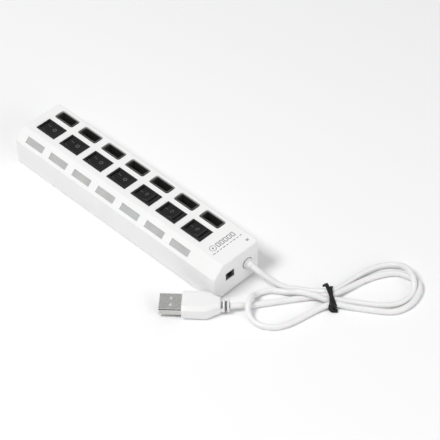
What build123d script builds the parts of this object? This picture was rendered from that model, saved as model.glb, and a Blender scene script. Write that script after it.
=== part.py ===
from build123d import *
import os
from math import atan2, cos, degrees, pi, radians, sin, tan

# Seven-port USB hub with one rocker switch per port. Millimetres, +Z up.
# Origin: middle of the footprint, on the surface the feet rest on.
# +X runs along the length to the end with the power inlet and the cord,
# +Y to the edge with the ports; the sloping face with the windows is on -Y.

# ---- driving dimensions -------------------------------------------------
length, width, height = 163.8, 34.6, 23.0
foot_lift = 0.6                 # bottom edge of the shell above the surface
wall, roof = 1.8, 2.0
slope_run, slope_drop = 7.0, 6.6
columns, pitch, first_x = 7, 20.0, -67.5
column_x = [first_x + pitch * i for i in range(columns)]

port_y, port_window, port_corner = 11.0, (15.1, 7.1), 1.3
socket_outer, socket_wall, socket_sunk = (13.1, 5.7), 0.3, 0.1
tongue_top, contact_top = 19.8, 18.6

switch_y = -1.1
bezel_base, bezel_height, bezel_bevel = (15.1, 10.2), 1.0, 0.6
switch_body, switch_cavity, switch_cutout = (13.6, 8.8), (13.0, 7.8), (13.8, 9.0)
switch_floor, cavity_floor = 12.4, 15.0
pivot_drop = 5.0                # rocker pivot below the top face
rocker_half, rocker_width, valley = 5.3, 7.5, 5.6
hood_low, hood_reach = 23.15, 0.7 # inward lip over the cavity's two ends
rocker_v, rocker_tilt = 7.0, 10.5       # degrees: each half's rise, rest tilt
trunnion_r, trunnion_reach, bearing_gap = 1.0, 0.45, 0.05
rest_states = [1, 1, 1, 1, -1, -1, -1]  # +1 rests on the +X half, -1 on -X

lens_length, lens_low, lens_high = 14.4, 0.23, 0.66  # ends as parts of the slope
lens_recess, lens_flange = 0.6, 0.9

board_bottom, board_thick = 7.4, 1.6
board_top = board_bottom + board_thick
cover_thick, cover_gap = 1.8, 0.1
screw_spots = [(-76.75, 12.2), (-76.75, -7.8), (62.0, 12.2), (63.6, -9.2)]
boss_r, pilot_r, screw_r, head_r, head_high = 2.6, 1.15, 1.1, 2.2, 1.5
foot_spots = [(x, y) for x in (-70.0, 74.0) for y in (-10.5, 10.5)]
foot_r, foot_thick = 4.0, 1.4

inlet_y, inlet_z, inlet_window, inlet_sunk = -5.2, 12.6, (6.4, 5.2), 0.3
gland_y, gland_z, gland_hole_r = 8.0, 12.0, 3.6
pinhole = (77.3, 13.0, 0.95)

cord_r = 1.65                   # half of the 3.3 mm cord
plug_tip, plug_turn = (63.9, -41.2), 41.5   # tip of the plug, heading in degrees
plug_axis_z = 4.25
shell_plug = (12.0, 4.5, 12.1)  # width, height and visible length of the shell
grip_half, grip_top_half, grip_bevel = 7.7, 4.9, 1.35
grip_straight, grip_taper, relief_length = 13.0, 8.0, 4.6

half_l, half_w = length / 2, width / 2
crease_y = -half_w + slope_run
slope_low = height - slope_drop
ceiling = height - roof
pivot_z = height - pivot_drop
socket_top = height - socket_sunk
parts = {}


def block(x0, x1, y0, y1, z0, z1):
    """A box between two corners."""
    return Pos((x0 + x1) / 2, (y0 + y1) / 2, (z0 + z1) / 2) * Box(x1 - x0, y1 - y0, z1 - z0)


def centred(x, y, size, z0, z1):
    """A box of a given plan size about (x, y) between two heights."""
    return Pos(x, y, (z0 + z1) / 2) * Box(size[0], size[1], z1 - z0)


def rod(x, y, radius, z0, z1):
    """An upright cylinder."""
    return Pos(x, y, (z0 + z1) / 2) * Cylinder(radius, z1 - z0)


def rod_x(y, z, radius, x0, x1):
    """A cylinder along X."""
    return Pos((x0 + x1) / 2, y, z) * Rot(0, 90, 0) * Cylinder(radius, x1 - x0)


def rounded(x, y, size, corner, z0, z1):
    """A box with rounded upright edges."""
    return Pos(x, y, z0) * extrude(RectangleRounded(size[0], size[1], corner), z1 - z0)


def joined(solids):
    """Separate solids of one node."""
    return Compound(children=list(solids))


def prism_x(points, x0, x1):
    """A closed YZ outline run along X."""
    outline = Plane.YZ * make_face(Polyline(*points, close=True))
    return Pos(x0, 0, 0) * extrude(outline, x1 - x0)


# ---- frame of the sloping face ------------------------------------------
slope_angle = degrees(atan2(slope_drop, slope_run))
slope_length = (slope_run ** 2 + slope_drop ** 2) ** 0.5


def on_slope(x, up, depth):
    """A location on the sloping face: up from its lower edge, depth inwards."""
    a = radians(slope_angle)
    y = -half_w + up * cos(a) + depth * sin(a)
    z = slope_low + up * sin(a) - depth * cos(a)
    return Pos(x, y, z) * Rot(slope_angle, 0, 0)


lens_mid = (lens_low + lens_high) / 2 * slope_length
lens_tall = (lens_high - lens_low) * slope_length


# ---- housing -------------------------------------------------------------
def top_shell():
    outer = prism_x([(-half_w, foot_lift), (-half_w, slope_low), (crease_y, height),
                     (half_w, height), (half_w, foot_lift)], -half_l, half_l)
    low_edge = outer.edges().filter_by(Axis.X).sort_by_distance((0, -half_w, slope_low))[0]
    outer = fillet(low_edge, 0.8)
    upright = outer.edges().filter_by(Axis.Z)
    outer = fillet(upright.group_by(Axis.Y)[-1], 2.0)
    outer = fillet(outer.edges().filter_by(Axis.Z).group_by(Axis.Y)[0], 0.8)
    outer = fillet(outer.edges().group_by(Axis.Z)[-1], 1.0)
    inner_w = half_w - wall
    a = radians(slope_angle)
    low_in = slope_low - wall * (1 - sin(a)) / cos(a)
    crease_in = -half_w + (wall + cos(a) * (slope_drop - roof)) / sin(a)
    inner = prism_x([(-inner_w, foot_lift - 1), (-inner_w, low_in), (crease_in, ceiling),
                     (inner_w, ceiling), (inner_w, foot_lift - 1)], -half_l + wall, half_l - wall)
    shell = outer - inner
    for x, y in screw_spots:
        shell += rod(x, y, boss_r, board_top, ceiling + 0.5)
    for x, y in screw_spots:
        shell -= rod(x, y, pilot_r, board_top - 1, ceiling - 3)
    for x in column_x:
        shell -= rounded(x, port_y, port_window, port_corner, ceiling - 1, height + 1)
        shell -= centred(x, switch_y, switch_cutout, ceiling - 1, height + 1)
        shell -= on_slope(x, lens_mid, 0.5) * Box(lens_length, lens_tall, 5)
    shell -= rod(pinhole[0], pinhole[1], pinhole[2], ceiling - 1, height + 1)
    shell -= Pos(half_l, inlet_y, inlet_z) * Box(2 * wall + 2, *inlet_window)
    shell -= rod_x(gland_y, gland_z, gland_hole_r, half_l - wall - 1, half_l + 1)
    return shell


def bottom_cover():
    plan = (length - 2 * wall - 2 * cover_gap, width - 2 * wall - 2 * cover_gap)
    cover = centred(0, 0, plan, foot_lift, foot_lift + cover_thick)
    for x, y in screw_spots:
        cover += rod(x, y, 3.2, foot_lift, board_bottom)
    for x, y in screw_spots:
        cover -= rod(x, y, head_r + 0.3, foot_lift - 1, foot_lift + 3.2)
        cover -= rod(x, y, screw_r + 0.25, foot_lift, board_bottom + 1)
    for x, y in foot_spots:
        cover -= rod(x, y, foot_r, foot_lift - 1, foot_thick)
    return cover


def housing_screws():
    seat = foot_lift + 3.2
    solids = []
    for x, y in screw_spots:
        screw = rod(x, y, head_r, seat - head_high, seat) + rod(x, y, screw_r, seat, board_top + 7)
        screw -= centred(x, y, (0.7, 3.0), seat - head_high - 1, seat - head_high + 0.7)
        screw -= centred(x, y, (3.0, 0.7), seat - head_high - 1, seat - head_high + 0.7)
        solids.append(screw)
    return joined(solids)


def rubber_feet():
    return joined([chamfer(rod(x, y, foot_r, 0, foot_thick).edges().group_by(Axis.Z)[0], 0.3)
                   for x, y in foot_spots])


# ---- circuit board and what is soldered to it -----------------------------
contact_offsets = (-3.5, -1.0, 1.0, 3.5)
blade_offsets = (-3.2, 3.2)


def circuit_board():
    board = block(-half_l + wall + 0.5, half_l - wall - 0.5, -half_w + wall + 0.5,
                  half_w - wall - 0.5, board_bottom, board_top)
    for x, y in screw_spots:
        board -= rod(x, y, screw_r + 0.25, board_bottom - 1, board_top + 1)
    for x in column_x:
        for dx in contact_offsets:
            board -= rod(x + dx, port_y + 0.065, 0.8, board_bottom - 1, board_top + 1)
        for dx in blade_offsets:
            board -= centred(x + dx, switch_y, (1.2, 3.4), board_bottom - 1, board_top + 1)
    return board


def usb_socket(x):
    """Folded metal shell of one socket, open at the top."""
    inner = tuple(s - 2 * socket_wall for s in socket_outer)
    shell = rounded(x, port_y, socket_outer, 0.7, board_top, socket_top)
    return shell - rounded(x, port_y, inner, 0.4, board_top - 1, socket_top + 1)


tongue_y0, tongue_y1 = port_y - 1.9, port_y - 0.06


def usb_tongue(x):
    """Plastic core of one socket: base and contact tongue."""
    inner = tuple(s - 2 * socket_wall for s in socket_outer)
    core = rounded(x, port_y, inner, 0.4, board_top, board_top + 2.2)
    core += block(x - 5.55, x + 5.55, tongue_y0, tongue_y1, board_top + 2.2, tongue_top)
    for dx in contact_offsets:
        core -= block(x + dx - 0.5, x + dx + 0.5, tongue_y1, tongue_y1 + 0.25,
                      board_top - 1, board_top + 3)
    return core


def socket_contacts():
    return joined([block(x + dx - 0.5, x + dx + 0.5, tongue_y1, tongue_y1 + 0.25,
                         board_bottom - 1.2, contact_top)
                   for x in column_x for dx in contact_offsets])


def indicator_leds():
    solids = []
    for x in column_x:
        lamp = centred(x, -11.6, (3.2, 2.7), board_top, board_top + 1.9)
        solids.append(chamfer(lamp.edges().group_by(Axis.Z)[-1], 0.4))
    return joined(solids)


def power_led():
    x, y, _ = pinhole
    return chamfer(centred(x, y, (2.0, 1.25), board_top, board_top + 1.1).edges().group_by(Axis.Z)[-1], 0.3)


def hub_chips():
    solids = []
    for x, y in ((-37.5, -3.0), (22.5, -3.0)):
        chip = centred(x, y, (7.0, 7.0), board_bottom - 1.4, board_bottom)
        chip = chamfer(chip.edges().group_by(Axis.Z)[0], 0.25)
        solids.append(chip - rod(x - 2.5, y - 2.5, 0.4, board_bottom - 2, board_bottom - 1.25))
    return joined(solids)


def clock_crystals():
    return joined([Pos(x, -11.0, board_bottom - 3.4) * extrude(SlotOverall(11.0, 4.6), 3.4)
                   for x in (-37.5, 22.5)])


def capacitors():
    solids = []
    for y in (1.8, -4.4):
        can = rod(66.4, y, 2.5, board_top, board_top + 8.0)
        solids.append(fillet(can.edges().group_by(Axis.Z)[-1], 0.4))
    return joined(solids)


def inlet_body():
    """Power socket: body on the board and a snout that fills the window."""
    body = block(69.9, half_l - wall, inlet_y - 3.5, inlet_y + 3.5, board_top, board_top + 6.4)
    wide, high = inlet_window[0] - 0.2, inlet_window[1] - 0.2
    body += block(half_l - wall, half_l - inlet_sunk, inlet_y - wide / 2, inlet_y + wide / 2,
                  inlet_z - high / 2, inlet_z + high / 2)
    return body - rod_x(inlet_y, inlet_z, 1.75, 71.5, half_l + 1)


def inlet_pin():
    pin = rod_x(inlet_y, inlet_z, 0.55, 71.5, half_l - wall - 0.8)
    return fillet(pin.edges().group_by(Axis.X)[-1], 0.25)


# ---- indicator windows -----------------------------------------------------
def indicator_lens(x):
    """Frosted window: a pane set back in the slope with a flange behind it."""
    back = wall + lens_flange
    pane = on_slope(x, lens_mid, (lens_recess + back) / 2) * Box(
        lens_length - 0.1, lens_tall - 0.1, back - lens_recess)
    flange = on_slope(x, lens_mid, (wall + back) / 2) * Box(
        lens_length + 1.6, lens_tall + 1.0, lens_flange)
    return pane + flange


# ---- rocker switches ---------------------------------------------------------
def switch_frame(x):
    """Bezel and box of one switch, with the bearings for the rocker."""
    bezel = centred(x, switch_y, bezel_base, height, height + bezel_height)
    bezel = chamfer(bezel.edges().group_by(Axis.Z)[-1], bezel_bevel)
    box = centred(x, switch_y, switch_body, switch_floor, height + 0.2)
    end = switch_cavity[0] / 2
    side = [(-end, cavity_floor), (-end, hood_low), (-end + hood_reach, height + bezel_height),
            (-end + hood_reach, height + 3), (end - hood_reach, height + 3),
            (end - hood_reach, height + bezel_height), (end, hood_low), (end, cavity_floor)]
    cavity = extrude(Plane.XZ * make_face(Polyline(*side, close=True)), switch_cavity[1])
    frame = bezel + box - Pos(x, switch_y + switch_cavity[1] / 2, 0) * cavity
    frame -= Pos(x, switch_y, pivot_z) * Rot(90, 0, 0) * Cylinder(trunnion_r + bearing_gap, 20)
    for dx in blade_offsets:
        frame -= centred(x + dx, switch_y, (0.8, 3.0), switch_floor - 1, cavity_floor + 1)
    return frame


def rocker(x, state):
    """Rocker with a shallow V top, built level about its pivot and then tilted."""
    rise = rocker_half * tan(radians(rocker_v))
    side = [(-rocker_half, valley + rise), (0, valley), (rocker_half, valley + rise),
            (4.6, 1.5), (1.6, -1.6), (-1.6, -1.6), (-4.6, 1.5)]
    face = Plane.XZ * make_face(Polyline(*side, close=True))
    cap = Pos(0, rocker_width / 2, 0) * extrude(face, rocker_width)
    cap = fillet(cap.edges().filter_by(Axis.Y).group_by(Axis.Z)[-1], 0.35)
    pins = Rot(90, 0, 0) * Cylinder(trunnion_r, rocker_width + 2 * trunnion_reach)
    return Pos(x, switch_y, pivot_z) * Rot(0, state * rocker_tilt, 0) * (cap + pins)


def switch_blades():
    return joined([centred(x + dx, switch_y, (0.8, 3.0), board_bottom - 1.2, cavity_floor + 0.4)
                   for x in column_x for dx in blade_offsets])


# ---- cord, tie and plug ------------------------------------------------------
lead_route = [(84.6, 8.0, 12.0), (88.8, 8.9, 10.2), (93.4, 11.2, 6.3), (98.2, 13.9, 2.9),
              (103.6, 16.2, cord_r), (107.4, 19.0, cord_r)]
bundle = (126.3, 26.6)          # middle of the tied waist
bundle_turn = 54.2              # heading of the bundle in degrees
waist_half, left_lobe, right_lobe = 6.6, (109.6, -0.6, 15.2), (143.5, 54.7, 18.2)
coil_high, tie_wide, tie_wall, tied_high = 6.6, 4.5, 0.8, 3.6


def cord_lead():
    """Cord from the gland to the tied bundle: straight runs joined by tangent arcs."""
    points = [Vector(*p) for p in lead_route]
    runs = [b - a for a, b in zip(points, points[1:])]
    radii = []
    for a, b in zip(runs, runs[1:]):
        radii.append(0.45 * min(a.length, b.length) / tan(radians(a.get_angle(b)) / 2))
    path = FilletPolyline(*points, radius=radii)
    tube = sweep(Plane(path @ 0, z_dir=path % 0) * Circle(cord_r), path=path)
    print("lead radii", [round(r, 1) for r in radii], "length", round(path.length, 1),
          "volume ratio", round(tube.volume / (pi * cord_r ** 2 * path.length), 4))
    return tube


def at_bundle():
    return Pos(bundle[0], bundle[1], 0) * Rot(0, 0, bundle_turn)


def cord_hank():
    """Outer shape of the tied loops: two lobes and a flat waist under the tie."""
    waist = Pos(*bundle) * Circle(waist_half)
    lobes = None
    for x, y, r in (left_lobe, right_lobe):
        lobe = make_hull((Pos(x, y) * Circle(r)).edges() + waist.edges())
        lobes = lobe if lobes is None else lobes + lobe
    hank = extrude(lobes, coil_high)
    hank -= at_bundle() * Pos(0, 0, 5) * Box(tie_wide + 0.4, 40, 20)
    core = Box(tie_wide + 0.4, 2 * waist_half, tied_high)
    return hank + at_bundle() * Pos(0, 0, tie_wall + tied_high / 2) * core


def wire_tie():
    outer = Box(tie_wide, 2 * (waist_half + tie_wall), tied_high + 2 * tie_wall)
    outer = fillet(outer.edges().filter_by(Axis.X), 0.7)
    ring = outer - Box(tie_wide + 1, 2 * waist_half, tied_high)
    return at_bundle() * Pos(0, 0, tie_wall + tied_high / 2) * ring


def at_plug(s):
    """A location on the plug's axis, s from its tip, X along the axis."""
    a = radians(plug_turn)
    return Pos(plug_tip[0] + s * cos(a), plug_tip[1] + s * sin(a), plug_axis_z) * Rot(0, 0, plug_turn)


grip_start = shell_plug[2]
relief_start = grip_start + grip_straight + grip_taper


def along_plug(s0, s1, sketch):
    """A section run along the plug's axis."""
    return at_plug(s0) * extrude(Plane.YZ * sketch, s1 - s0)


def plug_grip():
    tall = plug_axis_z
    side = [(-grip_half, tall - grip_bevel), (-grip_top_half, tall), (grip_top_half, tall),
            (grip_half, tall - grip_bevel), (grip_half, -tall + grip_bevel),
            (grip_top_half, -tall), (-grip_top_half, -tall), (-grip_half, -tall + grip_bevel)]
    big = make_face(Polyline(*side, close=True))
    small = make_face(Polyline(*[(0.49 * y, 0.86 * z) for y, z in side], close=True))
    grip = along_plug(grip_start, grip_start + grip_straight, big)
    taper = loft([at_plug(grip_start + grip_straight) * (Plane.YZ * big),
                  at_plug(relief_start) * (Plane.YZ * small)])
    bore = along_plug(grip_start - 1, grip_start + 6.5, Rectangle(shell_plug[0], shell_plug[1]))
    return grip + taper - bore


def strain_relief():
    """Ribbed neck between the grip and the cord."""
    neck = along_plug(relief_start, relief_start + relief_length, Circle(2.7))
    for s in (0.8, 3.1):
        ring = along_plug(relief_start + s, relief_start + s + 1.5, Circle(3.7))
        neck += fillet(ring.edges(), 0.3)
    return neck


def plug_shell():
    wide, high, out = shell_plug
    shell = along_plug(0, out + 6.5, RectangleRounded(wide, high, 0.6))
    shell -= along_plug(-1, out + 5.5, RectangleRounded(wide - 0.6, high - 0.6, 0.4))
    for y in (-2.4, 2.4):
        shell -= at_plug(6.2) * Pos(0, y, 0) * Box(2.0, 2.2, 2 * high)
    return shell


def plug_core():
    """Plastic tongue under the shell's upper wall, with the contacts on its lower face."""
    core = along_plug(0.6, shell_plug[2] + 5.5, Rectangle(10.6, 1.9))
    core = Pos(0, 0, 1.0) * core
    for y in contact_offsets:
        core -= at_plug(5.4) * Pos(0, y, 0.05) * Box(7.4, 1.0, 0.3)
    return core


def plug_contacts():
    return joined([at_plug(5.4) * Pos(0, y, 0.05) * Box(7.4, 1.0, 0.3) for y in contact_offsets])


tail_start = relief_start + relief_length


def cord_tail():
    """Cord from the plug down to the bundle."""
    a = radians(plug_turn)
    start = Vector(plug_tip[0] + tail_start * cos(a), plug_tip[1] + tail_start * sin(a), plug_axis_z)
    points = [start, Vector(95.4, -11.6, 3.4), Vector(98.6, -7.0, 1.9)]
    radius = 0.45 * min((points[1] - points[0]).length, (points[2] - points[1]).length)
    turn = (points[1] - points[0]).get_angle(points[2] - points[1])
    radius /= tan(radians(turn) / 2)
    path = FilletPolyline(*points, radius=[radius])
    tube = sweep(Plane(path @ 0, z_dir=path % 0) * Circle(cord_r), path=path)
    print("tail radius", round(radius, 1), "length", round(path.length, 1),
          "volume ratio", round(tube.volume / (pi * cord_r ** 2 * path.length), 4))
    return tube


def cord_gland():
    """Moulded bush: flange inside the wall, neck in the hole, short nose outside."""
    flange = block(half_l - wall - 2.0, half_l - wall, gland_y - 4.3, gland_y + 4.3,
                   board_top + 0.1, gland_z + 4.0)
    neck = rod_x(gland_y, gland_z, gland_hole_r - 0.5, half_l - wall, half_l + 1.2)
    neck = fillet(neck.edges().group_by(Axis.X)[-1], 0.8)
    nose = rod_x(gland_y, gland_z, 2.3, half_l + 1.0, 84.6)
    return flange + neck + nose - rod_x(gland_y, gland_z, 1.2, 70, half_l - wall - 0.5)


def inner_leads():
    """Four insulated leads from the gland down to the board."""
    solids = []
    for i, y in enumerate((5.3, 7.1, 8.9, 10.7)):
        points = [Vector(half_l - wall - 2.0, gland_y + 0.6 * (i - 1.5), gland_z),
                  Vector(76.2, gland_y + 0.9 * (i - 1.5), gland_z),
                  Vector(73.6, y, board_top + 2.4), Vector(73.4, y, board_top)]
        radii = []
        runs = [b - a for a, b in zip(points, points[1:])]
        for a, b in zip(runs, runs[1:]):
            radii.append(0.4 * min(a.length, b.length) / tan(radians(a.get_angle(b)) / 2))
        path = FilletPolyline(*points, radius=radii)
        solids.append(sweep(Plane(path @ 0, z_dir=path % 0) * Circle(0.3), path=path))
    return joined(solids)


# ---- all nodes -----------------------------------------------------------------
def build():
    parts["top_shell"] = top_shell()
    parts["bottom_cover"] = bottom_cover()
    parts["housing_screws"] = housing_screws()
    parts["rubber_feet"] = rubber_feet()
    parts["circuit_board"] = circuit_board()
    for i, x in enumerate(column_x, 1):
        parts[f"usb_socket_{i}"] = usb_socket(x)
        parts[f"usb_tongue_{i}"] = usb_tongue(x)
        parts[f"switch_frame_{i}"] = switch_frame(x)
        parts[f"rocker_{i}"] = rocker(x, rest_states[i - 1])
        parts[f"indicator_lens_{i}"] = indicator_lens(x)
    parts["socket_contacts"] = socket_contacts()
    parts["switch_blades"] = switch_blades()
    parts["indicator_leds"] = indicator_leds()
    parts["power_led"] = power_led()
    parts["hub_chips"] = hub_chips()
    parts["clock_crystals"] = clock_crystals()
    parts["capacitors"] = capacitors()
    parts["inlet_body"] = inlet_body()
    parts["inlet_pin"] = inlet_pin()
    parts["cord_gland"] = cord_gland()
    parts["inner_leads"] = inner_leads()
    parts["cord_lead"] = cord_lead()
    parts["cord_hank"] = cord_hank()
    parts["cord_tail"] = cord_tail()
    parts["wire_tie"] = wire_tie()
    parts["plug_grip"] = plug_grip()
    parts["strain_relief"] = strain_relief()
    parts["plug_shell"] = plug_shell()
    parts["plug_core"] = plug_core()
    parts["plug_contacts"] = plug_contacts()


build()
os.makedirs("parts", exist_ok=True)
for name, part in parts.items():
    export_step(part, f"parts/{name}.step")
print(len(parts), "nodes")
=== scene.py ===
"""Looks of a seven-port USB hub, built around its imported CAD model. Metres, +Z up."""
from math import cos, pi, radians, sin, sqrt

import bmesh
import bpy
from mathutils import Matrix, Quaternion, Vector


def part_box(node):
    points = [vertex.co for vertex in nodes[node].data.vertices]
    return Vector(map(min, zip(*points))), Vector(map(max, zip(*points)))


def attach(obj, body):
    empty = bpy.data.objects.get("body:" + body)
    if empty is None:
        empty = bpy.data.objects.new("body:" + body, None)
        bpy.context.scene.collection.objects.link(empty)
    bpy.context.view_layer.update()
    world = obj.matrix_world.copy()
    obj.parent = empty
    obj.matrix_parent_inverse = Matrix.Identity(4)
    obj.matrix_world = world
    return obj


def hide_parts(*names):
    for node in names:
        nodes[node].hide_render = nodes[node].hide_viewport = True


MM = 0.001
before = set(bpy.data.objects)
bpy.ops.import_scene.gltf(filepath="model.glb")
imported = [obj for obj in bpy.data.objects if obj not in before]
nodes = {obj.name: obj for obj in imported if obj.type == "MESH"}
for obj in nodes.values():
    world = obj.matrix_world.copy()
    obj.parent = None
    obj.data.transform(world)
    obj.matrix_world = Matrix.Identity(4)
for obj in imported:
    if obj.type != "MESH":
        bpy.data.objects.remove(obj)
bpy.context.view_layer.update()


# ---- camera, light and floor -------------------------------------------------
CAMERA_PLACE, CAMERA_AIM = Vector((0.5689, -0.4720, 0.7201)), Vector((0.0475, 0.0214, 0.0115))
CAMERA_ROLL, CAMERA_LENS = radians(-2.08), 148.37
CLIP_NEAR, CLIP_FAR = 0.05, 20
SKY_STRENGTH, HORIZON_LEVEL, CEILING_FROM = 0.64, 0.1, 0.7   # the ceiling is full above this height
SPOT_EDGE, SPOT_CORE, SPOT_LEVEL = 0.72, 0.975, 0.08         # edge and core are cosines from the spot
FLOOR_HALF = 3.0


def link(obj):
    bpy.context.scene.collection.objects.link(obj)
    return obj


def make_camera():
    data = bpy.data.cameras.new("camera")
    data.lens = CAMERA_LENS
    data.clip_start, data.clip_end = CLIP_NEAR, CLIP_FAR
    camera = link(bpy.data.objects.new("camera", data))
    camera.location = CAMERA_PLACE
    camera.rotation_mode = "QUATERNION"
    look = (CAMERA_AIM - CAMERA_PLACE).to_track_quat("-Z", "Y")
    camera.rotation_quaternion = look @ Quaternion((0, 0, 1), CAMERA_ROLL)
    bpy.context.scene.camera = camera


def area_light(name, place, aim, size, power):
    data = bpy.data.lights.new(name, "AREA")
    data.size, data.energy = size, power
    light = link(bpy.data.objects.new(name, data))
    light.location = place
    light.rotation_mode = "QUATERNION"
    light.rotation_quaternion = (Vector(aim) - Vector(place)).to_track_quat("-Z", "Y")


def map_range(tree, value, from_low, from_high, to_low, to_high):
    """A node that carries one range of values into another."""
    node = tree.nodes.new("ShaderNodeMapRange")
    node.inputs["From Min"].default_value, node.inputs["From Max"].default_value = from_low, from_high
    node.inputs["To Min"].default_value, node.inputs["To Max"].default_value = to_low, to_high
    tree.links.new(value, node.inputs["Value"])
    return node.outputs["Result"]


def make_world():
    """A white ceiling that falls off to the walls, with a dark spot where a photographer stands."""
    world = bpy.data.worlds.new("studio")
    bpy.context.scene.world = world
    world.use_nodes = True
    tree = world.node_tree
    background = tree.nodes["Background"]
    where = tree.nodes.new("ShaderNodeTexCoord")
    toward = tree.nodes.new("ShaderNodeVectorMath")
    toward.operation = "DOT_PRODUCT"
    toward.inputs[1].default_value = (CAMERA_PLACE - CAMERA_AIM).normalized()
    tree.links.new(where.outputs["Generated"], toward.inputs[0])
    apart = tree.nodes.new("ShaderNodeSeparateXYZ")
    tree.links.new(where.outputs["Generated"], apart.inputs["Vector"])
    both = tree.nodes.new("ShaderNodeMath")
    both.operation = "MULTIPLY"
    spot = map_range(tree, toward.outputs["Value"], SPOT_EDGE, SPOT_CORE, 1.0, SPOT_LEVEL)
    ceiling = map_range(tree, apart.outputs["Z"], 0.0, CEILING_FROM, HORIZON_LEVEL, 1.0)
    tree.links.new(spot, both.inputs[0])
    tree.links.new(ceiling, both.inputs[1])
    tree.links.new(both.outputs["Value"], background.inputs["Color"])
    background.inputs["Strength"].default_value = SKY_STRENGTH


def make_floor():
    mesh = bpy.data.meshes.new("floor")
    side = FLOOR_HALF
    mesh.from_pydata([(-side, -side, 0), (side, -side, 0), (side, side, 0), (-side, side, 0)],
                     [], [(0, 1, 2, 3)])
    floor = link(bpy.data.objects.new("floor", mesh))
    floor.data.materials.append(plain("floor_paper", (0.93, 0.93, 0.935), 0.9))


# ---- materials -----------------------------------------------------------------
def plain(name, color, roughness, metallic=0.0, **sockets):
    """A principled material; uniform values sit on the shader's own sockets."""
    material = bpy.data.materials.new(name)
    material.use_nodes = True
    shader = material.node_tree.nodes["Principled BSDF"]
    shader.inputs["Base Color"].default_value = (*color, 1)
    shader.inputs["Roughness"].default_value = roughness
    shader.inputs["Metallic"].default_value = metallic
    for socket, value in sockets.items():
        shader.inputs[socket.replace("_", " ")].default_value = value
    return material


NOISE_DETAIL = 3.0


def noise(material, scale, stretch=(1, 1, 1)):
    """Noise in the piece's own coordinates; scale is per metre."""
    tree = material.node_tree
    where = tree.nodes.new("ShaderNodeTexCoord")
    sizing = tree.nodes.new("ShaderNodeMapping")
    sizing.inputs["Scale"].default_value = stretch
    texture = tree.nodes.new("ShaderNodeTexNoise")
    texture.inputs["Scale"].default_value = scale
    texture.inputs["Detail"].default_value = NOISE_DETAIL
    tree.links.new(where.outputs["Object"], sizing.inputs["Vector"])
    tree.links.new(sizing.outputs["Vector"], texture.inputs["Vector"])
    return texture.outputs["Fac"]


def ramp(material, value, low, high, at):
    """A colour ramp between two colours, from one place to another along the value."""
    tree = material.node_tree
    node = tree.nodes.new("ShaderNodeValToRGB")
    node.color_ramp.elements[0].position, node.color_ramp.elements[1].position = at
    node.color_ramp.elements[0].color = (*low, 1)
    node.color_ramp.elements[1].color = (*high, 1)
    tree.links.new(value, node.inputs["Fac"])
    return node.outputs["Color"]


def vary_color(material, low, high, scale, stretch=(1, 1, 1)):
    """Colour that drifts between two close tones."""
    tree = material.node_tree
    color = ramp(material, noise(material, scale, stretch), low, high, (0.35, 0.65))
    tree.links.new(color, tree.nodes["Principled BSDF"].inputs["Base Color"])


def vary_roughness(material, low, high, scale, stretch=(1, 1, 1)):
    """Gloss that drifts between two roughnesses."""
    tree = material.node_tree
    spread = map_range(tree, noise(material, scale, stretch), 0.3, 0.7, low, high)
    tree.links.new(spread, tree.nodes["Principled BSDF"].inputs["Roughness"])


def bump(material, scale, height, strength, stretch=(1, 1, 1)):
    """Surface grain of a height in metres."""
    tree = material.node_tree
    node = tree.nodes.new("ShaderNodeBump")
    node.inputs["Strength"].default_value = strength
    node.inputs["Distance"].default_value = height
    tree.links.new(noise(material, scale, stretch), node.inputs["Height"])
    tree.links.new(node.outputs["Normal"], tree.nodes["Principled BSDF"].inputs["Normal"])


def housing_plastic():
    """Spark-textured white ABS."""
    m = plain("housing_plastic", (0.87, 0.87, 0.865), 0.5)
    vary_color(m, (0.862, 0.862, 0.858), (0.882, 0.882, 0.878), 60)
    vary_roughness(m, 0.46, 0.58, 900)
    bump(m, 2600, 0.00006, 0.35)
    return m


def soft_white(name, grain, gloss):
    """Soft white PVC of the cord and its mouldings."""
    m = plain(name, (0.83, 0.83, 0.83), gloss, Subsurface_Weight=0.12, Subsurface_Scale=0.0012)
    vary_color(m, (0.822, 0.824, 0.826), (0.846, 0.846, 0.844), 90)
    bump(m, grain, 0.00003, 0.25)
    return m


def black_plastic(name, level, roughness, shine=0.3):
    """Satin black, a little uneven in tone and gloss."""
    m = plain(name, (level, level, level), roughness, Specular_IOR_Level=shine)
    vary_color(m, (level * 0.85,) * 3, (level * 1.2,) * 3, 300)
    vary_roughness(m, roughness - 0.05, roughness + 0.08, 700)
    bump(m, 2200, 0.00003, 0.25)
    return m


def black_with_painted_flank_light(name, top, painted_flank_level, roughness, shine):
    """Black moulding whose upright faces are painted paler than its upper ones: painted light on the flanks,
    blended by how far each face turns upward.
    """
    m = plain(name, (top, top, top), roughness, Specular_IOR_Level=shine)
    tree = m.node_tree
    where = tree.nodes.new("ShaderNodeTexCoord")
    apart = tree.nodes.new("ShaderNodeSeparateXYZ")
    tree.links.new(where.outputs["Normal"], apart.inputs["Vector"])
    # painted light: the base colour runs from the pale flank level on upright faces to the top level on
    # upward faces
    tone = ramp(m, apart.outputs["Z"], (painted_flank_level,) * 3, (top,) * 3, (0.15, 0.5))
    tree.links.new(tone, tree.nodes["Principled BSDF"].inputs["Base Color"])
    vary_roughness(m, roughness - 0.04, roughness + 0.08, 700)
    bump(m, 2200, 0.00003, 0.25)
    return m


def sheet_metal(name, color, roughness, stretch=(1, 1, 1)):
    """Plated steel with fine rolling marks along one axis."""
    m = plain(name, color, roughness, 1.0)
    vary_color(m, tuple(0.93 * c for c in color), tuple(min(1, 1.05 * c) for c in color), 700, stretch)
    vary_roughness(m, roughness - 0.06, roughness + 0.08, 1500, stretch)
    bump(m, 3000, 0.00001, 0.2, stretch)
    return m


def frosted():
    """Frosted lamp window, milky grey while the lamp is off."""
    m = plain("frosted_window", (0.45, 0.45, 0.45), 0.42, Subsurface_Weight=0.25,
              Subsurface_Scale=0.002, Coat_Weight=0.15)
    vary_color(m, (0.47, 0.472, 0.47), (0.52, 0.52, 0.515), 160)
    bump(m, 3500, 0.00003, 0.25)
    return m


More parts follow.
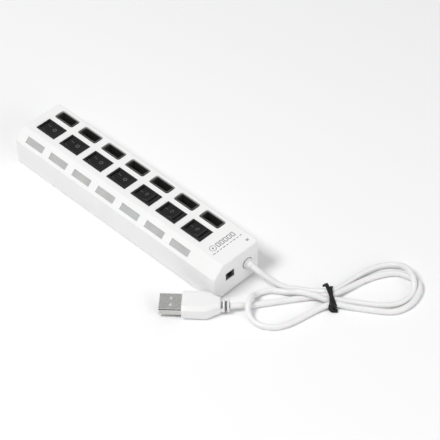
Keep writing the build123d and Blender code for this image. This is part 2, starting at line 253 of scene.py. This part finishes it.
def board_green():
    """Solder mask over the copper."""
    m = plain("board_green", (0.03, 0.18, 0.08), 0.35, Coat_Weight=0.3)
    vary_color(m, (0.02, 0.14, 0.06), (0.04, 0.22, 0.10), 400)
    return m


def tinted(name, color, roughness, metallic=0.0):
    """Any other plain moulded or plated piece: slight tone and grain."""
    m = plain(name, color, roughness, metallic)
    vary_color(m, tuple(0.9 * c for c in color), tuple(min(1, 1.08 * c) for c in color), 500)
    bump(m, 1500, 0.00002, 0.2)
    return m


white = housing_plastic()
soft = soft_white("soft_moulding", 1800, 0.42)
jacket = soft_white("cord_jacket", 1500, 0.38)
socket_metal = sheet_metal("socket_metal", (0.30, 0.30, 0.295), 0.42, (1, 1, 0.1))
plug_metal = sheet_metal("plug_metal", (0.60, 0.60, 0.585), 0.30)
black_core = black_plastic("tongue_black", 0.070, 0.5)
# switch frames and rockers: their upright faces are painted paler, as painted light on the flanks
frame_black = black_with_painted_flank_light("switch_frame_black", 0.014, 0.060, 0.5, 0.25)
rocker_black = black_with_painted_flank_light("rocker_black", 0.008, 0.085, 0.34, 0.26)
tie_black = black_plastic("tie_black", 0.012, 0.40)
window = frosted()
gold = tinted("gold_plate", (0.80, 0.58, 0.22), 0.28, 1.0)
brass = tinted("brass_strip", (0.70, 0.52, 0.24), 0.35, 1.0)
steel = tinted("screw_zinc", (0.60, 0.60, 0.61), 0.35, 1.0)
rubber = tinted("feet_rubber", (0.03, 0.03, 0.03), 0.75)
slot_shade = tinted("slot_shade", (0.30, 0.30, 0.30), 0.6)
# painted dark reflection: a near-black strip stands in for the dark reflection along the plug shell's
# rounded front edge
dark_reflection_paint = tinted("plug_edge_painted_reflection", (0.03, 0.03, 0.03), 0.6)
mark_ink = tinted("rocker_ink", (0.13, 0.13, 0.13), 0.55)
print_ink = tinted("print_ink", (0.24, 0.24, 0.25), 0.6)

DRESS = {
    "top_shell": white, "bottom_cover": white, "housing_screws": steel, "rubber_feet": rubber,
    "circuit_board": board_green(), "socket_contacts": gold, "plug_contacts": gold,
    "switch_blades": brass, "indicator_leds": tinted("lamp_resin", (0.8, 0.78, 0.66), 0.25),
    "power_led": tinted("power_lamp", (0.02, 0.02, 0.02), 0.35),
    "hub_chips": black_plastic("chip_epoxy", 0.03, 0.5),
    "clock_crystals": tinted("crystal_can", (0.68, 0.68, 0.68), 0.25, 1.0),
    "capacitors": tinted("capacitor_sleeve", (0.03, 0.04, 0.12), 0.3),
    "inlet_body": black_plastic("inlet_black", 0.050, 0.5, shine=0.2),
    "inlet_pin": tinted("inlet_pin", (0.2, 0.2, 0.2), 0.4, 1.0),
    "inner_leads": tinted("lead_red", (0.5, 0.05, 0.04), 0.45),
    # the plug core is white plastic; its colour is painted down to mid grey as painted shade inside the
    # shell's holes
    "plug_shell": plug_metal, "plug_core": tinted("plug_core_white_painted_shade", (0.56, 0.56, 0.55), 0.5),
}
COLUMNS = range(1, 8)
for number in COLUMNS:
    DRESS[f"usb_socket_{number}"] = socket_metal
    DRESS[f"usb_tongue_{number}"] = black_core
    DRESS[f"switch_frame_{number}"] = frame_black
    DRESS[f"rocker_{number}"] = rocker_black
    DRESS[f"indicator_lens_{number}"] = window


SHARP = radians(35)


def soften(obj, width, segments):
    """Rounds a piece's sharp edges by a small amount."""
    edge = obj.modifiers.new("edges", "BEVEL")
    edge.width, edge.segments = width, segments
    edge.limit_method, edge.angle_limit = "ANGLE", SHARP
    edge.harden_normals = True


def dress_nodes():
    """Gives the CAD nodes their materials and takes the sharpness off the switches and the plug."""
    for name, material in DRESS.items():
        data = nodes[name].data
        data.materials.clear()
        data.materials.append(material)
    for number in COLUMNS:
        soften(nodes[f"rocker_{number}"], 0.25 * MM, 3)
        soften(nodes[f"switch_frame_{number}"], 0.12 * MM, 2)
    soften(nodes["plug_shell"], 0.12 * MM, 2)


# ---- mesh helpers ---------------------------------------------------------------
def mesh_piece(name, bm, material, body="hub", smooth=True):
    """Turns a bmesh into a piece that rides on a body."""
    bmesh.ops.recalc_face_normals(bm, faces=bm.faces[:])
    mesh = bpy.data.meshes.new(name)
    bm.to_mesh(mesh)
    bm.free()
    for face in mesh.polygons:
        face.use_smooth = smooth
    obj = link(bpy.data.objects.new(name, mesh))
    mesh.materials.append(material)
    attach(obj, body)
    return obj


def loft(bm, rings):
    """Joins rings of equal length by quads and closes the two ends."""
    rows = [[bm.verts.new(p) for p in ring] for ring in rings]
    for a, b in zip(rows, rows[1:]):
        for i in range(len(a)):
            j = (i + 1) % len(a)
            bm.faces.new((a[i], a[j], b[j], b[i]))
    bm.faces.new(rows[0][::-1])
    bm.faces.new(rows[-1])


def bent(a, corner, b, t):
    """The point at t, from 0 to 1, on the quadratic curve from a to b that a corner pulls outward."""
    return a * (1 - t) ** 2 + corner * 2 * t * (1 - t) + b * t ** 2


def rounded_outline(corners, cut, steps=4):
    """An outline with each corner replaced by a short curve; cut is how far it starts from the corner."""
    points = []
    for before, corner, after in zip(corners[-1:] + corners[:-1], corners, corners[1:] + corners[:1]):
        a = corner + (before - corner).normalized() * cut
        b = corner + (after - corner).normalized() * cut
        points += [bent(a, corner, b, k / steps) for k in range(steps + 1)]
    return points


def smooth_line(controls, per_run):
    """Points on a quadratic spline through the middles of the runs between control points."""
    middles = [(a + b) / 2 for a, b in zip(controls, controls[1:])]
    line = [controls[0]]
    knots = [controls[0]] + middles[1:-1] + [controls[-1]]
    for a, corner, b in zip(knots, controls[1:-1], knots[1:]):
        line += [bent(a, corner, b, k / per_run) for k in range(1, per_run + 1)]
    return line


# ---- cord --------------------------------------------------------------------------
# Millimetres from here on. The first and last runs repeat the CAD's cord; the loops lie inside its coil.
CORD_R, TIED_Z = 1.65, 2.6
FLOOR_Z = CORD_R
LEAD = [(84.6, 8.0, 12.0), (88.8, 8.9, 10.2), (93.4, 11.2, 6.3), (98.2, 13.9, 2.9),
        (103.6, 16.2, FLOOR_Z), (107.4, 19.0, FLOOR_Z), (113.2, 22.6, FLOOR_Z), (118.0, 26.2, 2.1)]
FIRST_RIGHT_LOOP = [
    (124.3, 35.2, 2.1), (124.7, 41.6, FLOOR_Z), (125.8, 51.8, FLOOR_Z), (127.7, 60.3, FLOOR_Z),
    (131.2, 66.8, FLOOR_Z), (136.2, 70.5, 2.2), (142.6, 70.3, 5.5), (151.2, 66.2, 5.5),
    (155.0, 62.0, 2.2), (156.4, 57.0, FLOOR_Z), (155.9, 50.6, FLOOR_Z), (153.2, 45.9, FLOOR_Z),
    (148.6, 41.4, FLOOR_Z), (143.4, 37.7, FLOOR_Z), (137.6, 34.0, FLOOR_Z), (132.6, 30.4, 2.1)]
LEFT_LOOP = [
    (122.6, 21.6, 4.6), (118.6, 19.3, 5.5), (112.4, 16.2, 5.5), (107.2, 14.2, 2.3),
    (102.8, 12.0, FLOOR_Z), (98.4, 9.0, FLOOR_Z), (95.6, 4.0, FLOOR_Z), (95.3, -0.4, 2.4),
    (96.6, -4.0, 5.7), (99.6, -10.0, 5.7), (103.2, -12.8, 2.3), (107.8, -13.7, FLOOR_Z),
    (113.0, -13.2, FLOOR_Z), (118.3, -9.7, FLOOR_Z), (121.8, -4.4, FLOOR_Z), (123.9, 3.3, FLOOR_Z),
    (125.3, 11.6, FLOOR_Z), (127.0, 18.4, 2.1)]
SECOND_RIGHT_LOOP = [
    (135.6, 27.9, 2.1), (140.8, 31.4, FLOOR_Z), (146.0, 34.8, FLOOR_Z), (151.9, 38.6, FLOOR_Z),
    (156.9, 42.8, FLOOR_Z), (159.5, 48.2, FLOOR_Z), (160.1, 54.4, FLOOR_Z), (158.7, 60.9, FLOOR_Z),
    (155.9, 66.2, FLOOR_Z), (151.4, 69.2, FLOOR_Z), (144.6, 68.0, FLOOR_Z), (139.6, 66.0, FLOOR_Z),
    (135.5, 61.7, FLOOR_Z), (132.1, 55.3, FLOOR_Z), (129.6, 47.6, FLOOR_Z), (127.9, 39.3, 1.9)]
LAST_RUN = [(119.9, 22.9, 1.9), (115.3, 17.3, FLOOR_Z), (111.2, 11.5, FLOOR_Z), (107.1, 5.7, FLOOR_Z),
            (101.3, -2.6, FLOOR_Z), (98.6, -7.0, 1.9), (95.4, -11.6, 3.4), (92.14, -16.22, 4.25)]
TIE_MIDDLE, TIE_TURN = Vector((126.3, 26.6, 0)), radians(54.2)
ALONG = Vector((cos(TIE_TURN), sin(TIE_TURN), 0))
ACROSS = Vector((-sin(TIE_TURN), cos(TIE_TURN), 0))
TIE_REACH = 2.4


def in_slot(number, side):
    """Where strand 1 to 4, side by side, enters the tie on its left (-1) or right (+1) side."""
    place = TIE_MIDDLE + ACROSS * CORD_R * (5 - 2 * number) + ALONG * TIE_REACH * side
    return (place.x, place.y, TIED_Z)


def cord_points():
    """The whole route in metres: each loop goes out from the tie and comes back to it."""
    route = LEAD + [in_slot(1, -1), in_slot(1, 1)]
    route += FIRST_RIGHT_LOOP + [in_slot(3, 1), in_slot(3, -1)]
    route += LEFT_LOOP + [in_slot(4, -1), in_slot(4, 1)]
    route += SECOND_RIGHT_LOOP + [in_slot(2, 1), in_slot(2, -1)]
    return [Vector(p) * MM for p in route + LAST_RUN]


def make_cord():
    """One smooth round curve from the gland to the plug's strain relief."""
    curve = bpy.data.curves.new("cord", "CURVE")
    curve.dimensions = "3D"
    spline = curve.splines.new("NURBS")
    points = cord_points()
    spline.points.add(len(points) - 1)
    for point, place in zip(spline.points, points):
        point.co = (*place, 1)
    spline.order_u = 3
    spline.use_endpoint_u = True
    spline.resolution_u = 10
    curve.bevel_depth, curve.bevel_resolution = CORD_R * MM, 8
    curve.use_fill_caps = True
    obj = link(bpy.data.objects.new("cord", curve))
    curve.materials.append(jacket)
    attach(obj, "hub")
    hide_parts("cord_lead", "cord_hank", "cord_tail")
    return obj


# ---- gland ---------------------------------------------------------------------------
GLAND_Y, GLAND_Z = 8.0, 12.0
WALL_IN, WALL_OUT = 80.1, 81.9
FLANGE_R, FLANGE_THICK, NECK_R, NECK_ROUND = 4.0, 2.0, 3.1, 0.75
NECK_OUT, NOSE_OUT, NOSE_R, NOSE_TIP_R, NOSE_TAPER, TIP_STEP = 0.5, 1.3, 2.4, 2.1, 0.15, 0.25


def tube(bm, stations, sides=48):
    """A round body through (place, direction, radius) stations."""
    rings = []
    for place, direction, radius in stations:
        turn = Vector(direction).to_track_quat("X", "Z")
        rings.append([(Vector(place) + turn @ Vector((0, radius * cos(a), radius * sin(a)))) * MM
                      for a in (2 * pi * k / sides for k in range(sides))])
    loft(bm, rings)


def make_gland():
    """Bush in the end wall whose rounded nose lets the cord out, bending down with it."""
    ahead = Vector((1, 0, 0))
    down = (Vector(LEAD[1]) - Vector(LEAD[0])).normalized()
    axis = Vector((0, GLAND_Y, GLAND_Z))
    seat = axis + ahead * (WALL_IN - 0.05)
    stations = [(axis + ahead * (WALL_IN - FLANGE_THICK), ahead, FLANGE_R), (seat, ahead, FLANGE_R),
                (seat, ahead, NECK_R), (axis + ahead * (WALL_OUT + NECK_OUT), ahead, NECK_R)]
    for k in range(1, 6):
        a = radians(15 * k)
        stations.append((axis + ahead * (WALL_OUT + NECK_OUT + NECK_ROUND * sin(a)), ahead,
                         NECK_R - NECK_ROUND * (1 - cos(a))))
    nose = axis + ahead * (WALL_OUT + NOSE_OUT)
    for k in range(1, 8):
        t = k / 7
        direction = ahead.lerp(down, t).normalized()
        place = nose.lerp(Vector(LEAD[0]) + down * 0.5, t)
        radius = NOSE_R - NOSE_TAPER * t if k < 6 else NOSE_TIP_R - TIP_STEP * (k - 6)
        stations.append((place, direction, radius))
    bm = bmesh.new()
    tube(bm, stations)
    obj = mesh_piece("gland", bm, soft)
    soften(obj, 0.12 * MM, 2)
    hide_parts("cord_gland")
    return obj


# ---- plug ------------------------------------------------------------------------------
PLUG_TIP, PLUG_TURN, PLUG_Z = (63.9, -41.2), radians(41.5), 4.25
GRIP_START, GRIP_STRAIGHT, GRIP_TAPER, RELIEF = 12.1, 13.0, 8.0, 4.6
GRIP_HALF, GRIP_TOP, GRIP_BEVEL = 7.7, 4.9, 1.35
GRIP_ROUND, GRIP_CORNER, GRIP_END = 0.9, 0.55, 0.25   # front edge, corners of the section, back edge
NARROWING, FLATTENING, SWELL = 0.51, 0.14, 0.06       # the taper's loss of width and height, and its curve


def on_plug(s, y, z):
    """A point of the plug: s along its axis from the tip, y to its left, z from the axis."""
    return Vector((PLUG_TIP[0] + s * cos(PLUG_TURN) - y * sin(PLUG_TURN),
                   PLUG_TIP[1] + s * sin(PLUG_TURN) + y * cos(PLUG_TURN), PLUG_Z + z)) * MM


def grip_ring(s, wide, tall, inset=0.0):
    """Section of the grip: a rectangle with broad sloping edges."""
    half, top = GRIP_HALF * wide - inset, GRIP_TOP * wide - 0.7 * inset
    rise, bevel = PLUG_Z * tall - inset, GRIP_BEVEL * tall
    corners = [Vector(p) for p in ((top, rise), (-top, rise), (-half, rise - bevel), (-half, bevel - rise),
                                   (-top, -rise), (top, -rise), (half, bevel - rise), (half, rise - bevel))]
    return [on_plug(s, p.x, p.y) for p in rounded_outline(corners, GRIP_CORNER)]


def make_grip():
    """The plug's moulded grip: a rounded front edge, a straight part and a taper to the neck."""
    bm = bmesh.new()
    rings = []
    for k in range(5, -1, -1):
        a = radians(18 * k)
        rings.append(grip_ring(GRIP_START + GRIP_ROUND * (1 - sin(a)), 1, 1, GRIP_ROUND * (1 - cos(a))))
    straight_end = GRIP_START + GRIP_STRAIGHT
    for s in (4.0, 8.0, 11.6, 12.6):
        rings.append(grip_ring(GRIP_START + s, 1, 1))
    for k in range(1, 9):
        t = k / 8
        wide = 1 - NARROWING * (t - SWELL * sin(2 * pi * t))
        back = GRIP_END if k == 8 else 0
        rings.append(grip_ring(straight_end + GRIP_TAPER * t - back, wide, 1 - FLATTENING * t))
    rings.append(grip_ring(straight_end + GRIP_TAPER, 0.47, 0.83, GRIP_END))
    loft(bm, rings)
    obj = mesh_piece("plug_moulding", bm, soft)
    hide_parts("plug_grip")
    return obj


# Where the painted dark reflection strip lies on the shell: across it, its height band and where it starts.
REFLECTION_OUT, REFLECTION_IN, REFLECTION_LOW, REFLECTION_HIGH, REFLECTION_START = -6.06, -5.9, 1.7, 2.1, 0.15


def make_painted_reflection_line():
    """A near-black strip along the front edge of the plug's metal shell, painted as the dark reflection that
    rounded edge shows.
    """
    bm = bmesh.new()
    side = [(REFLECTION_OUT, REFLECTION_LOW), (REFLECTION_IN, REFLECTION_LOW), (REFLECTION_IN, REFLECTION_HIGH), (REFLECTION_OUT, REFLECTION_HIGH)]
    loft(bm, [[on_plug(s, y, z) for y, z in side] for s in (REFLECTION_START, GRIP_START)])
    obj = mesh_piece("plug_painted_reflection_line", bm, dark_reflection_paint, smooth=False)
    return obj


RELIEF_R, RELIEF_TAPER, RELIEF_ROUND, RELIEF_INTO = 3.75, 0.06, 0.5, 0.3   # the last: into the grip
SLOTS = ((0.85, radians(70)), (3.2, radians(165)))    # place along the neck, and the way the slot faces
SLOT_DEPTH, SLOT_HALF, SLOT_SPILL, SLOT_WALL, SLOT_WRAP = 1.7, 0.5, 1.6, 0.6, 0.25
SHADED_FROM, SHADED_TO, SHADED_UNDER = 0.7, 4.4, 2.85   # faces this far along and this near the axis


def relief_radius(s, a):
    """The neck's radius at s along it and angle a round it."""
    radius = RELIEF_R - RELIEF_TAPER * s
    for middle, facing in SLOTS:
        off = abs(s - middle) / SLOT_HALF
        turned = cos(a - facing)
        if off < SLOT_SPILL and turned > -SLOT_WRAP:
            depth = min(1, (turned + SLOT_WRAP) / SLOT_WRAP) * min(1, max(0, (SLOT_SPILL - off) / SLOT_WALL))
            radius -= SLOT_DEPTH * depth
    end = (RELIEF + RELIEF_INTO - s) / RELIEF_ROUND
    if end < 1:
        radius -= RELIEF_ROUND * (1 - sqrt(max(0, 1 - (1 - end) ** 2)))
    return radius


def make_relief():
    """Neck with two slots cut into it from different sides, so that it can flex."""
    start, sides, steps = GRIP_START + GRIP_STRAIGHT + GRIP_TAPER - RELIEF_INTO, 64, 50
    bm = bmesh.new()
    rings = []
    for k in range(steps + 1):
        s = (RELIEF + RELIEF_INTO) * k / steps
        ring = []
        for a in (2 * pi * j / sides for j in range(sides)):
            radius = relief_radius(s, a)
            ring.append(on_plug(start + s, radius * cos(a), radius * sin(a)))
        rings.append(ring)
    loft(bm, rings)
    obj = mesh_piece("plug_relief", bm, soft)
    obj.data.materials.append(slot_shade)
    axis = (on_plug(1, 0, 0) - on_plug(0, 0, 0)).normalized()
    for face in obj.data.polygons:
        arm = (face.center - on_plug(0, 0, 0)) / MM
        along = arm.dot(axis)
        away = (arm - axis * along).length
        if SHADED_FROM < along - start < SHADED_TO and away < SHADED_UNDER:
            face.material_index = 1
    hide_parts("strain_relief")
    return obj


# ---- twist tie ------------------------------------------------------------------------------
STRIP_WIDE, STRIP_THICK = 2.2, 0.55
STRIP_SECTION = [(-1, -0.5), (1, -0.5), (1.08, 0), (1, 0.5), (0.35, 0.62), (0, 0.95),
                 (-0.35, 0.62), (-1, 0.5), (-1.08, 0)]     # flat, with the wire as a ridge along its middle
TIE_HALF, TIE_HIGH, TIE_FULLNESS = 7.0, 2.0, 0.62


def at_tie(u, s, z):
    """A point near the tie: u along the bundle, s across it."""
    return TIE_MIDDLE + ALONG * u + ACROSS * s + Vector((0, 0, z))


def squarish(value):
    """Pushes a sine or cosine outward, so that the turn is fuller than an ellipse."""
    return (1 if value >= 0 else -1) * abs(value) ** TIE_FULLNESS


def tie_path():
    """A turn and a half round the strands, crossing on top, with a curled end and a tail.

    Each point has the way the strip's flat face looks there; reach is how far it has crept along the bundle.
    """
    up = Vector((0, 0, 1))
    path = [(at_tie(-1.7, 7.9, 3.6), ACROSS), (at_tie(-1.6, 8.1, 4.8), ACROSS + up),
            (at_tie(-1.2, 7.8, 5.5), up), (at_tie(-0.7, 7.0, 5.5), up)]
    for k in range(3, 37):
        a = 2 * pi * k / 24
        s, z = TIE_HALF * squarish(cos(a)), TIED_Z + (TIE_HIGH + 0.02 * k) * squarish(sin(a))
        if a < pi:
            reach = -0.5 + 1.5 * a / pi
        elif a < 2 * pi:
            reach = a / pi
        else:
            reach = 2.0 - 3.5 * (a / pi - 2)
        outward = ACROSS * 0.6 * cos(a) + up * sin(a)
        path.append((at_tie(reach, s, z), outward.normalized()))
    path += [(at_tie(-1.4, -7.5, 1.7), -ACROSS), (at_tie(-0.6, -7.8, 1.0), up - ACROSS),
             (at_tie(0.9, -8.0, 0.7), up), (at_tie(2.2, -8.2, 0.6), up)]
    return path


def make_tie():
    """The black twist tie, a flat strip swept along its path."""
    bm = bmesh.new()
    path = tie_path()
    places = smooth_line([p for p, _ in path], 3)
    outs = smooth_line([n for _, n in path], 3)
    rings = []
    for i, (place, out) in enumerate(zip(places, outs)):
        ahead = (places[min(i + 1, len(places) - 1)] - places[max(i - 1, 0)]).normalized()
        side = ahead.cross(out).normalized()
        up = side.cross(ahead).normalized()
        rings.append([(place + side * x * STRIP_WIDE / 2 + up * y * STRIP_THICK) * MM
                      for x, y in STRIP_SECTION])
    loft(bm, rings)
    obj = mesh_piece("twist_tie", bm, tie_black)
    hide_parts("wire_tie")
    return obj


# ---- printed marks ------------------------------------------------------------------------------
PITCH, FIRST_X, SWITCH_Y, PIVOT_Z = 20.0, -67.5, -1.1, 18.0
VALLEY, ROCKER_V, ROCKER_TILT = 5.6, radians(7.0), radians(10.5)
REST_STATES = [1, 1, 1, 1, -1, -1, -1]      # +1 rests on the +X half, -1 on -X
INK_THICK = 0.02
MARK_Y, RING_X, RING_OUT, RING_IN = 0.35, 1.3, 1.15, 0.78
BAR_X, BAR_LONG, BAR_WIDE = -2.95, 2.3, 0.24


def plate(bm, outline, top):
    """A thin plate of ink with the given outline, its upper face at height top."""
    lower = [bm.verts.new((x * MM, y * MM, (top - INK_THICK) * MM)) for x, y in outline]
    upper = [bm.verts.new((x * MM, y * MM, top * MM)) for x, y in outline]
    for i in range(len(outline)):
        j = (i + 1) % len(outline)
        bm.faces.new((lower[i], lower[j], upper[j], upper[i]))
    bm.faces.new(lower[::-1])
    bm.faces.new(upper)


def ring_plate(bm, outer, inner, top):
    """A thin plate of ink with a hole; both outlines have as many points."""
    low = top - INK_THICK
    levels = [[bm.verts.new((x * MM, y * MM, z * MM)) for x, y in outline]
              for outline, z in ((outer, top), (inner, top), (inner, low), (outer, low))]
    for a, b in zip(levels, levels[1:] + levels[:1]):
        for i in range(len(a)):
            j = (i + 1) % len(a)
            bm.faces.new((a[i], a[j], b[j], b[i]))


def circle(x, y, radius, sides=40):
    return [(x + radius * cos(a), y + radius * sin(a)) for a in (2 * pi * k / sides for k in range(sides))]


def rectangle(x, y, wide, tall):
    return [(x - wide / 2, y - tall / 2), (x + wide / 2, y - tall / 2),
            (x + wide / 2, y + tall / 2), (x - wide / 2, y + tall / 2)]


def make_rocker_marks(number, state):
    """The off ring on the +X half and the on bar on the -X half of one rocker."""
    x = FIRST_X + PITCH * (number - 1)
    tilt = Matrix.Rotation(state * ROCKER_TILT, 4, "Y")
    rest = Matrix.Translation(Vector((x, SWITCH_Y, PIVOT_Z)) * MM) @ tilt
    valley = Matrix.Translation((0, 0, VALLEY * MM))
    bm = bmesh.new()
    ring_plate(bm, circle(RING_X, MARK_Y, RING_OUT), circle(RING_X, MARK_Y, RING_IN), INK_THICK / 2)
    ring = bm.verts[:]
    plate(bm, rectangle(BAR_X, MARK_Y, BAR_LONG, BAR_WIDE), INK_THICK / 2)
    bar = bm.verts[len(ring):]
    bmesh.ops.transform(bm, matrix=rest @ valley @ Matrix.Rotation(-ROCKER_V, 4, "Y"), verts=ring)
    bmesh.ops.transform(bm, matrix=rest @ valley @ Matrix.Rotation(ROCKER_V, 4, "Y"), verts=bar)
    obj = mesh_piece(f"switch_marks_{number}", bm, mark_ink, f"rocker_{number}", smooth=False)


ROW_X, BADGE_Y, BADGE_OUT, BADGE_IN, DOT_R = 68.6, -4.6, 2.1, 1.75, 0.6
BOXES, BOX_START, BOX_STEP, BOX_OUT, BOX_IN = 5, -0.6, 2.75, (3.3, 2.2), (2.3, 1.2)
DASHES, DASH_X, DASH_START, DASH_STEP, DASH_WIDE, DASH_LONG, DASH_SHORT = 9, 72.2, -7.0, 2.5, 0.5, 2.0, 1.5


def make_top_marks():
    """Plain marks where a maker would print: a ring, a row of small boxes and a broken line."""
    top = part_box("top_shell")[1].z / MM + INK_THICK / 2
    bm = bmesh.new()
    ring_plate(bm, circle(ROW_X, BADGE_Y, BADGE_OUT), circle(ROW_X, BADGE_Y, BADGE_IN), top)
    plate(bm, circle(ROW_X, BADGE_Y, DOT_R, 20), top)
    for y in (BOX_START + BOX_STEP * k for k in range(BOXES)):
        ring_plate(bm, rectangle(ROW_X, y, *BOX_OUT), rectangle(ROW_X, y, *BOX_IN), top)
    for k in range(DASHES):
        tall = DASH_SHORT if k % 3 else DASH_LONG
        plate(bm, rectangle(DASH_X, DASH_START + DASH_STEP * k, DASH_WIDE, tall), top)
    obj = mesh_piece("top_marks", bm, print_ink, smooth=False)


# ---- everything ------------------------------------------------------------------------------------
bpy.context.scene.view_settings.view_transform = "Standard"
make_camera()
make_world()
make_floor()
area_light("key", place=(-0.2, -0.78, 1.33), aim=(0.03, 0.02, 0), size=0.5, power=14.2)
area_light("fill", place=(1.4, 0.0, 0.55), aim=(0.05, 0.02, 0), size=1.0, power=7.2)
dress_nodes()
cord = make_cord()
gland, grip, relief, tie, reflection_line = make_gland(), make_grip(), make_relief(), make_tie(), make_painted_reflection_line()
for number, state in enumerate(REST_STATES, 1):
    make_rocker_marks(number, state)
make_top_marks()
